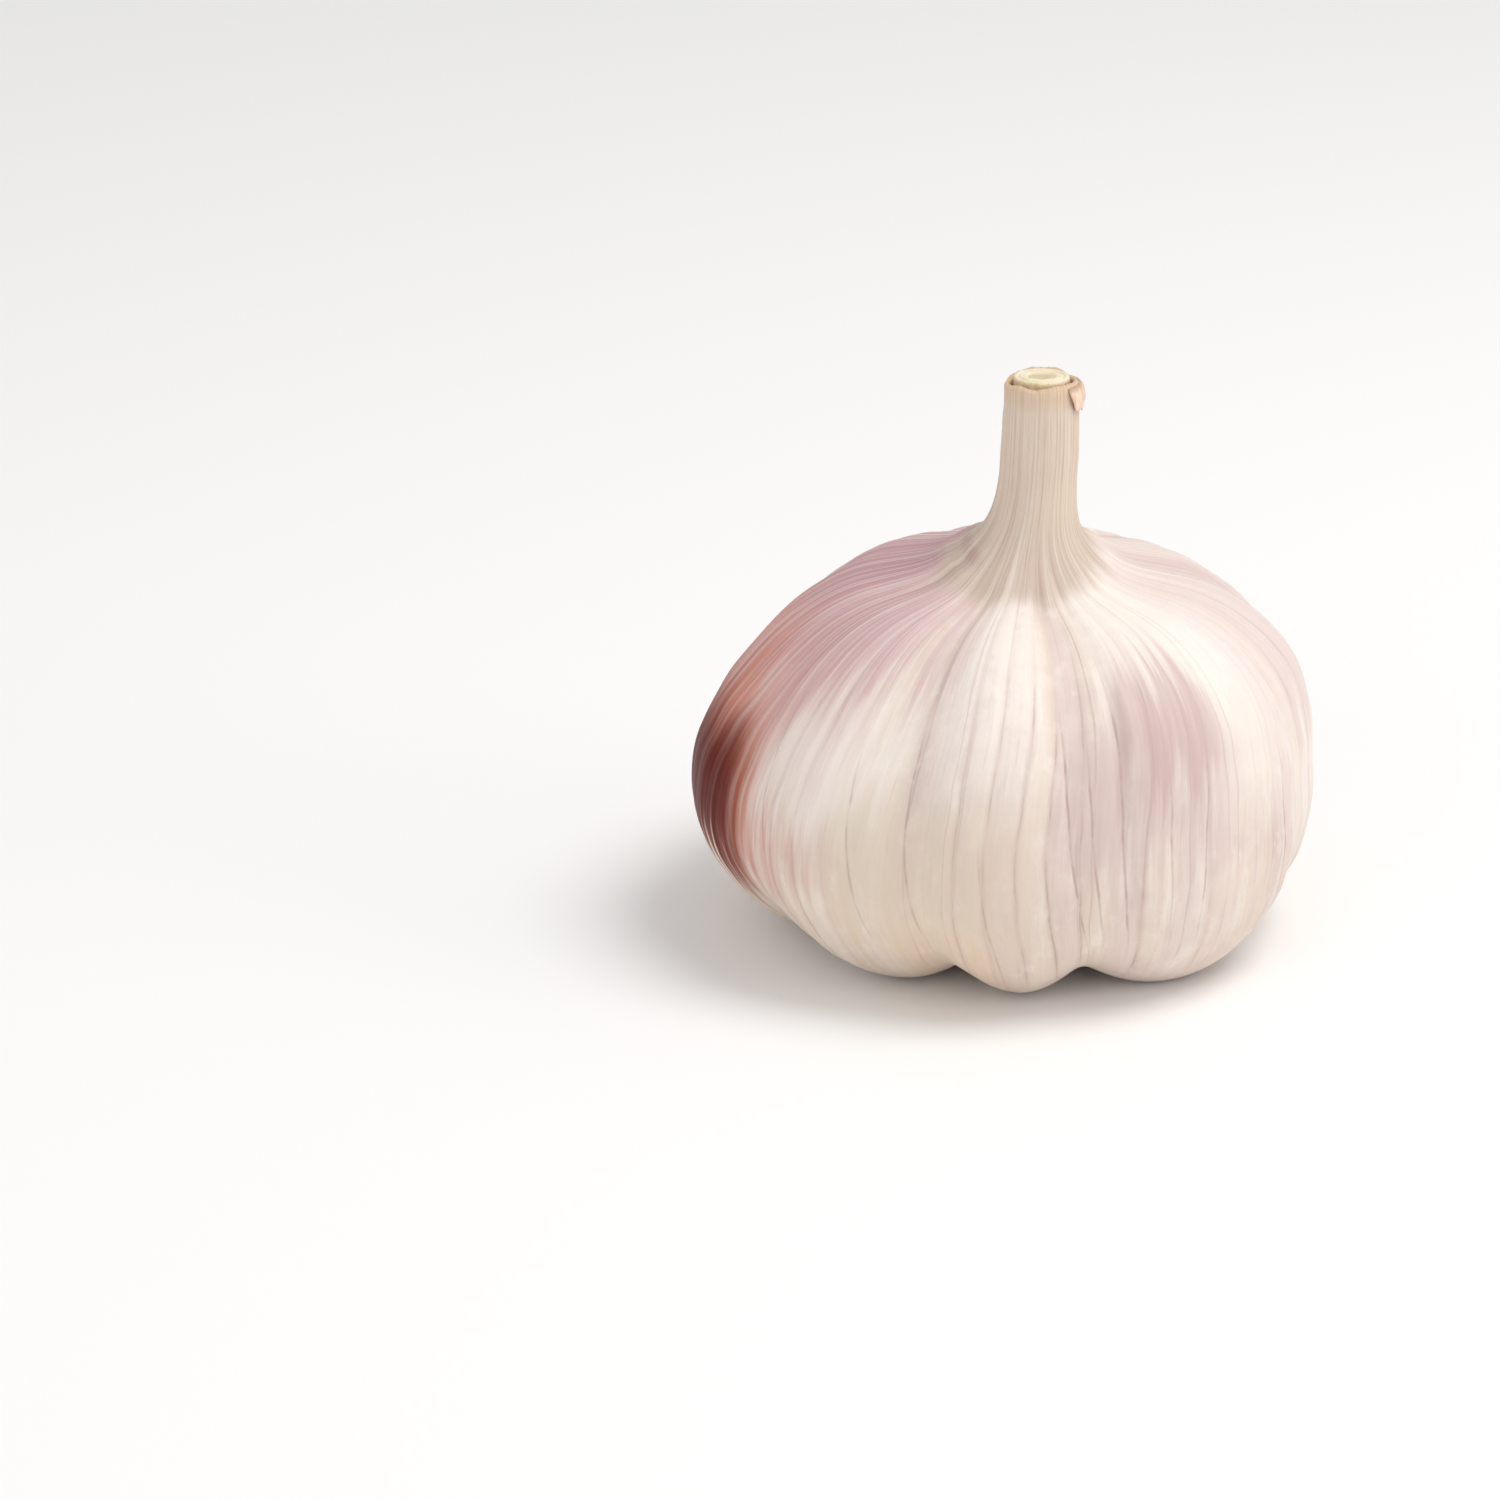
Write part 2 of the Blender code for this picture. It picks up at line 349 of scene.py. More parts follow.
def skinTree(material):
    tree = bpy.data.node_groups.new("garlic skin", "GeometryNodeTree")
    tree.interface.new_socket(name="Geometry", in_out="INPUT", socket_type="NodeSocketGeometry")
    kinds = {
        "Profile": ("Object", None),
        "Columns": ("Int", bulb["columns"]),
        "Rows": ("Int", bulb["rows"]),
        "Belly height": ("Float", bulb["bellyHeight"]),
        "Foot radius": ("Float", bulb["footRadius"]),
        "Plate radius": ("Float", bulb["plateRadius"]),
        "Lean": ("Float", bulb["lean"]),
        "Twist": ("Float", bulb["twist"]),
        "Vein relief": ("Float", bulb["veinRelief"]),
        "Wave relief": ("Float", bulb["waveRelief"]),
        "Fibre relief": ("Float", bulb["fibreRelief"]),
        "Back rise": ("Float", bulb["backRise"]),
    }
    for name, (kind, value) in kinds.items():
        treeInput(tree, name, kind, value)
    tree.interface.new_socket(name="Geometry", in_out="OUTPUT", socket_type="NodeSocketGeometry")
    wire = Wire(tree)
    given = wire.node("NodeGroupInput", {}, {})
    sizes = {name: given.other(name) for name in kinds}

    grid = wire.node("GeometryNodeMeshGrid", {}, {
        "Size X": 1.0, "Size Y": 1.0,
        "Vertices X": sizes["Columns"] + 1, "Vertices Y": sizes["Rows"] + 1,
    })
    place = wire.node("GeometryNodeInputPosition", {}, {})
    split = wire.node("ShaderNodeSeparateXYZ", {}, {0: place})
    turn = split.other("X") + 0.5
    along = split.other("Y") + 0.5
    angle = turn * (2 * math.pi) + math.radians(bulb["seamDirection"])
    cosine = angle.maths("COSINE", angle)
    sine = angle.maths("SINE", angle)

    profile = wire.node("GeometryNodeObjectInfo", {}, {"Object": sizes["Profile"]}, "Geometry")
    smooth = wire.node("GeometryNodeCurveSplineType", {"spline_type": "CATMULL_ROM"}, {"Curve": profile})
    fine = wire.node("GeometryNodeSetSplineResolution", {}, {"Geometry": smooth, "Resolution": 16})
    follow = {"Curves": fine, "Factor": along}
    sample = wire.node("GeometryNodeSampleCurve", {"mode": "FACTOR"}, follow, "Position")
    spot = wire.node("ShaderNodeSeparateXYZ", {}, {0: sample})
    radius = spot.other("X")
    height = spot.other("Z")
    run = wire.node("ShaderNodeSeparateXYZ", {}, {0: sample.other("Tangent")})
    outward = run.other("Z")
    upward = 0 - run.other("X")

    twist = height.step(30 * mm, 2 * mm) * sizes["Twist"] - sizes["Twist"] * 0.4
    lobeAngle = angle - twist
    lobeCosine = angle.maths("COSINE", lobeAngle)
    lobeSine = angle.maths("SINE", lobeAngle)
    push, lean, crown = clovePush(wire, lobeCosine, lobeSine, height, radius, sizes)
    aboveMouth = along.step(bulb["mouthShare"], bulb["mouthShare"] - 0.01)
    outer = along.step(0.085, 0.13) * aboveMouth
    relief = skinRelief(wire, cosine, sine, turn, height, radius, sizes)
    push = push * aboveMouth + relief * outer

    radiusNow = radius + push * outward
    behind = wire.facing(cosine, sine, 92, 125) * height.step(31 * mm, 35 * mm)
    behind = behind * radius.step(4.2 * mm, 6.8 * mm)
    lift = push * upward + rimWear(wire, cosine, sine, height) + behind * sizes["Back rise"] * outer
    level = height + lift
    level = level.maths("SMOOTH_MAX", level, 0.0, 0.35 * mm)
    spread = wire.vector(radiusNow * cosine + lean, radiusNow * sine, level)

    body = wire.node("GeometryNodeStoreNamedAttribute", {"data_type": "FLOAT2", "domain": "CORNER"}, {
        "Geometry": grid, "Name": "UVMap", "Value": grid.other("UV Map"),
    })
    ringKept = wire.vector(cosine, sine, height / bulbHigh.z)
    kept = (("ring", ringKept, "FLOAT_VECTOR"), ("crown", crown, "FLOAT"), ("along", along, "FLOAT"))
    for name, value, kind in kept:
        body = wire.node("GeometryNodeStoreNamedAttribute", {"data_type": kind, "domain": "POINT"}, {
            "Geometry": body, "Name": name, "Value": value,
        })
    body = wire.node("GeometryNodeSetPosition", {}, {"Geometry": body, "Position": spread})
    body = wire.node("GeometryNodeMergeByDistance", {}, {"Geometry": body, "Distance": 0.000001})
    body = wire.node("GeometryNodeSetShadeSmooth", {}, {0: body})
    body = wire.node("GeometryNodeRealizeInstances", {}, {"Geometry": body})
    body = wire.node("GeometryNodeSetMaterial", {}, {"Geometry": body, "Material": material})
    wire.node("NodeGroupOutput", {}, {"Geometry": body})
    return tree


creases = [
    # direction at the top and bottom in degrees, top and bottom height in mm, depth in mm, width in degrees
    (-73.0, -68.5, 31.5, 8.0, 0.40, 2.6),
    (-84.5, -76.0, 30.0, 6.0, 0.16, 1.6),
    (-79.0, -73.5, 28.0, 9.0, 0.10, 1.3),
    (-62.0, -60.0, 25.0, 8.0, 0.12, 1.4),
    (-53.0, -54.0, 27.0, 9.0, 0.10, 1.4),
    (-97.0, -93.5, 18.0, 3.0, 0.10, 1.2),
    (-113.0, -108.0, 27.0, 6.0, 0.14, 1.8),
    (-124.0, -119.0, 24.0, 8.0, 0.12, 1.4),
    (-146.0, -140.0, 28.0, 12.0, 0.12, 1.5),
    (-30.0, -28.0, 26.0, 9.0, 0.18, 2.0),
    (151.0, 164.0, 35.0, 12.0, 0.42, 3.2),
    (118.0, 113.0, 28.0, 9.0, 0.22, 2.0),
    (62.0, 67.0, 30.0, 7.0, 0.28, 2.4),
    (14.0, 18.0, 25.0, 6.0, 0.20, 2.0),
]


def creaseLine(turnDegrees, height, crease):
    # signed distance in degrees from one fold, and where along its length the fold shows
    high, low, top, bottom = crease[:4]
    share = (height - bottom * mm) / ((top - bottom) * mm)
    away = turnDegrees - (share * (high - low) + low)
    turns = away / 360.0
    away = away - turns.maths("ROUND", turns) * 360.0
    shown = height.step((top + 2) * mm, (top - 5) * mm) * height.step((bottom - 4) * mm, (bottom + 6) * mm)
    return away, shown


def skinRelief(wire, cosine, sine, turn, height, radius, sizes):
    near, _, stripChance = veinLines(wire, cosine, sine, turn, height, veins)
    onBody = height.step(1.0 * mm, 6 * mm) * height.step(40 * mm, 33 * mm)
    strip = near.step(0.0, 0.40) * (0.25 + stripChance)
    relief = strip * onBody * sizes["Vein relief"]

    low = wire.vector(cosine, sine, height * 22.0).noise(1.7, 2.0) - 0.5
    wave = wire.vector(cosine, sine, height * 8.0).noise(5.5, 2.0) - 0.5
    relief = relief + (low * 1.0 + wave * 0.7) * onBody * sizes["Wave relief"]

    fibre = wire.vector(cosine, sine, height * 4.0).noise(9.0, 3.0, 0.6) - 0.5
    onNeck = height.step(33 * mm, 41 * mm)
    relief = relief + fibre * (0.10 + onNeck) * sizes["Fibre relief"]

    degrees = turn * 360.0 + bulb["seamDirection"]
    for crease in creases:
        away, shown = creaseLine(degrees, height, crease)
        depth, width = crease[4:]
        valley = abs(away).step(width, 0.0)
        bank = away.step(-0.3 * width, 0.6 * width) * away.step(8 * width, 1.5 * width)
        relief = relief + (bank * 0.5 - valley) * shown * (depth * mm)
    fold, bank = neckFold(wire, cosine, sine, height, radius)
    return relief + (bank * 0.4 - fold) * lap["relief"]


lap = {
    "direction": -172,
    "half": 44,
    "relief": 0.18 * mm,
}


def neckFold(wire, cosine, sine, height, radius):
    # the neck's skin laps over the shoulder on one side; its line, and the lap just above it
    fore = wire.facing(cosine, sine, lap["direction"], lap["half"])
    line = radius - (cosine * 1.2 + 8.0) * mm
    shown = fore * height.step(31 * mm, 34 * mm)
    return abs(line).step(0.75 * mm, 0.1 * mm) * shown, line.step(-0.2 * mm, -1.2 * mm) * shown


def rimWear(wire, cosine, sine, height):
    # the cut rim of the neck isn't level
    atRim = height.step(bulbHigh.z - 2.2 * mm, bulbHigh.z - 0.2 * mm)
    uneven = wire.vector(cosine, sine, height * 9.0).noise(1.0, 1.0) - 0.42
    ragged = wire.vector(cosine, sine, height * 9.0).noise(9.0, 2.0) - 0.5
    return (uneven * bulb["rimSlope"] + ragged * bulb["rimRagged"]) * atRim


def growBulb(material):
    guide = profileCurve("bulb profile", bulbProfile())
    mesh = bpy.data.meshes.new("bulb_skin")
    body = bpy.data.objects.new("bulb_skin", mesh)
    bpy.context.scene.collection.objects.link(body)
    tree = skinTree(material)
    grow = body.modifiers.new("Skin", "NODES")
    grow.node_group = tree
    inputs = {item.name: item.identifier for item in tree.interface.items_tree if item.in_out == "INPUT"}
    grow[inputs["Profile"]] = guide
    made = bakeDown(body)
    bpy.data.objects.remove(guide)
    return made


def bakeDown(piece):
    # the modifiers' result becomes the piece's own plain mesh
    depsgraph = bpy.context.evaluated_depsgraph_get()
    mesh = bpy.data.meshes.new_from_object(piece.evaluated_get(depsgraph), depsgraph=depsgraph)
    piece.modifiers.clear()
    old = piece.data
    piece.data = mesh
    mesh.name = piece.name
    if isinstance(old, bpy.types.Mesh):
        bpy.data.meshes.remove(old)
    return piece


skin = {
    "cream": colour(0.82, 0.715, 0.62),
    "bright": colour(0.90, 0.83, 0.77),
    "pink": colour(0.80, 0.66, 0.615),
    "blush": colour(0.84, 0.715, 0.695),
    "lavender": colour(0.69, 0.56, 0.525),
    "beige": colour(0.74, 0.62, 0.49),
    "neck": colour(0.72, 0.59, 0.48),
    "collar": colour(0.59, 0.475, 0.39),
    "vein": colour(0.41, 0.255, 0.235),
    "mauveStainAndShade": colour(0.575, 0.35, 0.375),
    "darkStainAndFoldShade": colour(0.41, 0.205, 0.245),
    # dusk is painted shade on the front right lobe
    "dusk": colour(0.60, 0.43, 0.41),
    # peach is a painted warm reflection low on the front left
    "peach": colour(0.80, 0.62, 0.45),
    "rose": colour(0.62, 0.33, 0.30),
    "salmon": colour(0.56, 0.19, 0.12),
    # brick and the deepest red are partly the skin's own red, partly painted shadow and reflected warm
    # colour
    "brick": colour(0.29, 0.050, 0.026),
    "redStainAndShadow": colour(0.105, 0.007, 0.004),
    "cut": colour(0.68, 0.475, 0.29),
    "rootStreak": colour(0.50, 0.32, 0.16),
}


stainsAndPaintedLight = [
    # colour, direction and half width in degrees, heights in mm over which it comes and goes,
    # how solid, how streaky; some rows are the skin's own stains and tints, others painted highlight or
    # painted shade
    ("mauveStainAndShade", 165, 102, (12, 32), (36, 41), 0.47, 0.36),
    ("darkStainAndFoldShade", 150, 50, (26, 33), (36, 41), 0.10, 0.62),
    ("darkStainAndFoldShade", -160, 30, (26, 31), (33, 37), 0.04, 0.42),
    ("rose", 178, 76, (2, 14), (24, 40), 0.30, 0.38),
    # far left flank: the skin's own red tint, deepened towards the edge into painted shadow and a painted
    # warm reflection
    ("salmon", -172, 33, (5, 14), (18, 32), 0.44, 0.40),
    ("salmon", 176, 26, (14, 22), (26, 37), 0.22, 0.50),
    ("brick", -173, 32, (3, 13), (16, 31), 0.52, 0.34),
    ("redStainAndShadow", -174, 27, (3, 14), (16, 29), 0.90, 0.10),
    ("redStainAndShadow", 172, 20, (12, 20), (22, 32), 0.05, 0.50),
    # painted shade on the front right lobe below its crown, beside its folds
    ("lavender", -64, 26, (9, 20), (25, 31), 0.36, 0.30),
    ("dusk", -61, 16, (17, 26), (29, 36), 0.66, 0.20),
    ("dusk", -68, 24, (10, 22), (22, 31), 0.16, 0.14),
    # painted highlight on the front left lobe
    ("bright", -132, 20, (11, 22), (22, 34), 0.50, 0.30),
    # painted highlight on the right shoulder and the right side of the belly, which face the light; the
    # blush row is a paler pink there, partly the skin's own tint and partly painted highlight
    ("bright", -15, 50, (8, 24), (35, 39), 0.24, 0.20),
    ("bright", -46, 32, (27, 33), (36, 40), 0.42, 0.10),
    ("bright", -4, 30, (5, 12), (17, 26), 0.34, 0.14),
    ("blush", -4, 44, (18, 28), (35, 40), 0.34, 0.26),
    ("lavender", 2, 28, (16, 26), (33, 39), 0.40, 0.26),
    ("beige", -108, 26, (5, 10), (17, 26), 0.38, 0.20),
    ("mauveStainAndShade", 28, 34, (27, 33), (35, 39), 0.14, 0.20),
    # painted warm reflection low on the front left
    ("peach", -106, 16, (0, 3), (7, 13), 0.30, 0.25),
    ("mauveStainAndShade", 92, 34, (10, 28), (32, 39), 0.15, 0.40),
    ("beige", 48, 22, (2, 10), (20, 30), 0.15, 0.40),
    ("salmon", 116, 20, (2, 8), (12, 24), 0.08, 0.25),
    # painted shade under the neck's skin at the front left
    ("mauveStainAndShade", -126, 26, (26, 33), (34, 38), 0.16, 0.25),
]


collar = {
    # the neck's dry fibres spread over the shoulders, furthest in one direction; lengths in mm
    "direction": math.radians(-122),
    "swing": 3.6,
    "reach": 6.6,
    "least": 4.9,
    "ragged": 4.0,
}


def skinMaterial():
    settings = {
        "Roughness": 0.42,
        "IOR": 1.42,
        "Specular IOR Level": 0.08,
        "Subsurface Weight": 0.10,
        "Subsurface Radius": (0.9, 0.6, 0.45),
        "Subsurface Scale": 0.0012,
    }
    material, shader, wire = newMaterial("garlic skin", settings)
    ring = wire.node("ShaderNodeAttribute", {"attribute_name": "ring"}, {}, "Vector")
    crown = wire.node("ShaderNodeAttribute", {"attribute_name": "crown"}, {}, "Fac")
    along = wire.node("ShaderNodeAttribute", {"attribute_name": "along"}, {}, "Fac")
    uv = wire.node("ShaderNodeUVMap", {"uv_map": "UVMap"}, {})
    turn = wire.node("ShaderNodeSeparateXYZ", {}, {0: uv}).other("X")
    parts = wire.node("ShaderNodeSeparateXYZ", {}, {0: ring})
    cosine = parts.other("X")
    sine = parts.other("Y")
    height = parts.other("Z") * bulbHigh.z
    spot = wire.node("ShaderNodeTexCoord", {}, {}, "Object")
    place = wire.node("ShaderNodeSeparateXYZ", {}, {0: spot})
    radius = (place.other("X") ** 2 + place.other("Y") ** 2) ** 0.5
    near, veinChance, stripChance = veinLines(wire, cosine, sine, turn, height, veins)

    # strips between the veins, in broad bands that run from the root to the neck
    bands = wire.vector(cosine, sine, height * 9.0).noise(3.1, 2.0)
    thin = wire.vector(cosine, sine, height * 3.0).noise(21.0, 3.0, 0.6)
    hair = wire.vector(cosine, sine, height * 3.5).noise(52.0, 4.0, 0.62)
    long = wire.vector(cosine, sine, height * 1.6).noise(38.0, 3.0, 0.6)
    spread = wire.vector(place.other("X"), place.other("Y"), place.other("Z") * 0.6)
    mottle = spread.noise(520.0, 4.0, 0.65)
    tint = wire.node("ShaderNodeValToRGB", {"stops": [
        (0.0, skin["cream"]), (0.22, skin["beige"]), (0.42, skin["cream"]),
        (0.60, skin["pink"]), (0.78, skin["lavender"]), (1.0, skin["bright"]),
    ]}, {"Fac": stripChance})
    shade = (bands.step(0.40, 0.62) * 0.8).blend(skin["cream"], skin["pink"])
    shade = (near.step(0.02, 0.22) * 0.62).blend(shade, tint)
    shade = (thin.step(0.50, 0.72) * 0.35).blend(shade, skin["beige"])
    shade = (thin.step(0.48, 0.30) * 0.40).blend(shade, skin["bright"])
    cloudy = spot.noise(170.0, 3.0)
    shade = (cloudy.step(0.46, 0.70) * bands.step(0.32, 0.58) * 0.60).blend(shade, skin["lavender"])

    # crowns of the cloves are paler where the skin is tight, and carry a painted highlight that grows
    # towards the shoulders, which face the light from above
    upper = height.step(14 * mm, 31 * mm)
    crownPaleAndHighlight = crown.step(0.25, 1.0) * upper
    shade = (crownPaleAndHighlight * 0.75).blend(shade, skin["bright"])

    # veins
    lineShade = veinShade(wire, near, veinChance, cosine, sine, turn, radius, height, thin)
    degrees = turn * 360.0 + bulb["seamDirection"]
    dash = wire.vector(cosine * 4.0, sine * 4.0, height * 330.0).noise(1.0, 2.0)
    for crease in creases:
        away, shown = creaseLine(degrees, height, crease)
        across = abs(away + 0.25) * radius * math.radians(1)
        line = across.step(0.20 * mm, 0.02 * mm) * shown * (0.40 + dash.step(0.42, 0.60) * 0.60)
        lineShade = lineShade.maths("MAXIMUM", lineShade, line * min(0.45 + crease[4], 0.75))
    shade = lineShade.blend(shade, skin["vein"])

    lower = height.step(27 * mm, 13 * mm) * (1 - wire.facing(cosine, sine, -30, 80) * 0.75)
    shade = (lower * 0.42).blend(shade, skin["beige"])

    # finest fibres
    shade = (hair.step(0.50, 0.74) * 0.15).blend(shade, skin["vein"])
    shade = (mottle.step(0.50, 0.72) * 0.22).blend(shade, skin["lavender"])
    shade = (mottle.step(0.50, 0.30) * 0.35).blend(shade, skin["bright"])

    ends = height + (thin - 0.5) * (14 * mm)      # each streak starts and stops at its own height
    # lay the stains, and the patches of painted highlight and painted shade, over the skin
    for name, direction, half, low, high, plain, streaked in stainsAndPaintedLight:
        mask = wire.facing(cosine, sine, direction, half)
        mask = mask * ends.step(low[0] * mm, low[1] * mm) * ends.step(high[1] * mm, high[0] * mm)
        mask = (mask + (thin - 0.5) * 0.8).step(0.22, 1.0)
        shade = (mask * (long.step(0.34, 0.64) * streaked + plain)).blend(shade, skin[name])
    shade = (lineShade * 0.45).blend(shade, skin["vein"], "DARKEN")

    # neck, its fibres and its cut rim
    turned = cosine * math.cos(collar["direction"]) + sine * math.sin(collar["direction"])
    reach = turned * collar["swing"] + collar["reach"]
    reach = reach.maths("MAXIMUM", reach, collar["least"])
    edge = reach * mm - radius
    wisps = wire.vector(cosine, sine, height * 6.0).noise(8.0, 4.0, 0.6) - 0.5
    edge = edge + wisps * (collar["ragged"] * mm)
    above = height.step(27 * mm, 31 * mm)
    onNeck = edge.step(-1.8 * mm, 1.3 * mm) * above
    nearNeck = edge.step(-5 * mm, 1.5 * mm) * above
    neckShade = height.step(37 * mm, 43 * mm).blend(skin["collar"], skin["neck"])
    shade = (onNeck * 0.92).blend(shade, neckShade)
    fold, _ = neckFold(wire, cosine, sine, height, radius)
    # painted shade along the line where the neck's skin laps over the shoulder
    shade = (fold * 0.30).blend(shade, skin["darkStainAndFoldShade"])
    fibres = wire.vector(cosine, sine, height * 2.5).noise(15.0, 4.0, 0.75)
    shade = (fibres.step(0.49, 0.62) * nearNeck * 0.55).blend(shade, skin["cream"])
    shade = (fibres.step(0.48, 0.34) * nearNeck * 0.35).blend(shade, skin["vein"])
    atRim = (height + (fibres - 0.5) * (4 * mm)).step(bulbHigh.z - 2.6 * mm, bulbHigh.z - 1.0 * mm)
    shade = (atRim * (0.30 + fibres.step(0.56, 0.42) * 0.35)).blend(shade, skin["cut"])

    # brown streaks run out from the root plate
    under = radius.step(15.5 * mm, 9.5 * mm) * height.step(7 * mm, 2 * mm)
    shade = (under * (0.25 + thin.step(0.42, 0.60) * 0.7)).blend(shade, skin["rootStreak"])
    hidden = along.maths("MAXIMUM", along.step(0.075, 0.06), along.step(0.90, 0.92))
    shade = hidden.blend(shade, skin["cut"])

    rough = 0.34 + thin * 0.14 + onNeck * 0.14 + under * 0.12
    crinkle = spot.noise(900.0, 3.0, 0.6)
    bumpHeight = hair * 0.5 + mottle * 0.8 + crinkle * 0.25 - lineShade * 0.6
    bump = wire.node("ShaderNodeBump", {}, {"Strength": 0.30, "Distance": 0.00022, "Height": bumpHeight})
    feed(shader, colour=shade, roughness=rough, normal=bump)
    return material


def veinShade(wire, near, veinChance, cosine, sine, turn, radius, height, thin):
    # thin brown lines, each with its own strength, that fade in and out along their length
    space = radius * (2 * math.pi / veins["count"])
    dash = wire.vector(turn * 58.0, height * 150.0, veinChance * 30.0).noise(1.0, 3.0, 0.6)
    away = near * space
    core = away.step(veins["line"], 0.03 * mm) * (0.12 + dash.step(0.42, 0.64) * 0.88)
    line = away.step(veins["halo"], 0.05 * mm) * 0.20 + core * 0.44
    body = height.step(1.5 * mm, 6 * mm) * height.step(38 * mm, 25 * mm)
    lines = line * (0.10 + veinChance.step(0.15, 1.0) * 0.80) * body

    near, veinChance, _ = veinLines(wire, cosine, sine, turn, height, fineVeins)
    space = radius * (2 * math.pi / fineVeins["count"])
    line = (near * space).step(fineVeins["line"], 0.02 * mm)
    faint = line * veinChance.step(0.35, 1.0) * height.step(1.5 * mm, 5 * mm) * thin.step(0.35, 0.60) * 0.26
    return lines.maths("MAXIMUM", lines, faint)


stalk = {
    "radius": (stalkHigh.x - stalkLow.x) / 2,
    "layers": [0.46, 0.80],        # where one leaf sheath meets the next, as shares of the radius
    "columns": 144,
    "dish": 0.25 * mm,
    "seamDepth": 0.09 * mm,
    "seamWidth": 0.03,
    "length": 4.3 * mm,            # the rest is out of sight inside the neck
    "waves": (2, 3, 5, 7, 11),     # how many times each wave of the uneven outline goes round
    "seed": 5,
    "flesh": colour(0.86, 0.78, 0.60),
    "deepFlesh": colour(0.80, 0.68, 0.46),
    "pith": colour(0.56, 0.45, 0.27),
    "seam": colour(0.50, 0.36, 0.20),
    "edge": colour(0.48, 0.32, 0.17),
    "grain": colour(0.62, 0.50, 0.33),
}


def stalkHeight(share):
    height = stalkHigh.z - stalk["dish"] * (1 - min(share / 0.55, 1.0)) ** 0.7
    for layer in stalk["layers"]:
        height -= stalk["seamDepth"] * math.exp(-((share - layer) / stalk["seamWidth"]) ** 2)
    return height


def spinRows(shape, rows, columns):
    # turns a profile of radii and heights about the axis, and closes the seam and the poles
    points = [shape.verts.new((across, 0.0, height)) for across, height in rows]
    edges = [shape.edges.new(pair) for pair in zip(points, points[1:])]
    bmesh.ops.spin(
        shape, geom=points + edges, cent=(0, 0, 0), axis=(0, 0, 1),
        angle=2 * math.pi, steps=columns, use_merge=True,
    )
    bmesh.ops.remove_doubles(shape, verts=shape.verts, dist=mergeDistance)


def growStalk(material):
    radius = stalk["radius"]
    shape = bmesh.new()
    rows = [(share / 40 * radius, stalkHeight(share / 40)) for share in range(0, 38)]
    rows += [(0.975 * radius, stalkHigh.z - 0.06 * mm), (radius, stalkHigh.z - 0.3 * mm)]
    rows += [(radius, stalkHigh.z - down * mm) for down in (0.8, 1.6, 2.8, 4.2)]
    bottom = stalkHigh.z - stalk["length"]
    rows += [(0.5 * radius, bottom), (0.0, bottom)]
    spinRows(shape, rows, stalk["columns"])
    chance = random.Random(stalk["seed"])
    waves = []
    for number in stalk["waves"]:
        waves.append((number, chance.uniform(0, 6.28), chance.uniform(0.3, 1.0) / number))
    for vertex in shape.verts:
        around = math.atan2(vertex.co.y, vertex.co.x)
        wave = sum(size * math.sin(number * around + start) for number, start, size in waves)
        share = math.hypot(vertex.co.x, vertex.co.y) / radius
        shrink = 1 - 0.012 * (1 + wave) * share
        vertex.co.x *= shrink
        vertex.co.y *= shrink
        if vertex.co.z > stalkHigh.z - 0.5 * mm:
            vertex.co.z -= 0.05 * mm * (1 + 0.6 * wave) * share
    bmesh.ops.recalc_face_normals(shape, faces=shape.faces)
    return plainPiece("cut_stalk", shape, material)


def plainPiece(name, shape, material):
    mesh = bpy.data.meshes.new(name)
    shape.to_mesh(mesh)
    shape.free()
    mesh.materials.append(material)
    mesh.shade_smooth()
    made = bpy.data.objects.new(name, mesh)
    bpy.context.scene.collection.objects.link(made)
    return made


def stalkMaterial():
    material, shader, wire = newMaterial("cut stalk", {
        "Roughness": 0.6,
        "Subsurface Weight": 0.1,
        "Subsurface Radius": (0.8, 0.6, 0.4),
        "Subsurface Scale": mm,
    })
    spot = wire.node("ShaderNodeTexCoord", {}, {}, "Object")
    place = wire.node("ShaderNodeSeparateXYZ", {}, {0: spot})
    radius = (place.other("X") ** 2 + place.other("Y") ** 2) ** 0.5
    share = radius / stalk["radius"]
    cells = spot.noise(2600.0, 3.0, 0.6)
    blotch = spot.noise(500.0, 2.0)
    shade = blotch.step(0.35, 0.7).blend(stalk["flesh"], stalk["deepFlesh"])
    oval = ((place.other("X") ** 2) * 0.55 + place.other("Y") ** 2) ** 0.5 / stalk["radius"]
    pith = (oval + (blotch - 0.5) * 0.25).step(0.40, 0.26)
    shade = (pith * 0.75).blend(shade, stalk["pith"])
    for layer in stalk["layers"]:
        seam = abs(share + (blotch - 0.5) * 0.12 - layer).step(0.045, 0.0)
        shade = (seam * blotch.step(0.30, 0.60) * 0.45).blend(shade, stalk["seam"])
    edge = (share + (cells - 0.5) * 0.12).step(0.93, 1.02)
    shade = (edge * 0.65).blend(shade, stalk["edge"])
    shade = (cells.step(0.55, 0.75) * 0.35).blend(shade, stalk["grain"])
    bump = wire.node("ShaderNodeBump", {}, {"Strength": 0.5, "Distance": 0.00012, "Height": cells})
    feed(shader, colour=shade, roughness=0.55 + cells * 0.2, normal=bump)
    return material


rootPlate = {
    "radius": bulb["plateRadius"],
    "edge": 1.2 * mm,
    "columns": 220,
    "rows": 64,
    "rimRoots": 120,
    "faceRoots": 150,
    "rootLength": 1.5 * mm,
    "rootWidth": 0.36 * mm,
    "dark": colour(0.40, 0.25, 0.12),
    "cork": colour(0.62, 0.46, 0.28),
    "pale": colour(0.70, 0.56, 0.38),
    "pits": colour(0.22, 0.12, 0.05),
    "rim": colour(0.60, 0.34, 0.12),
}


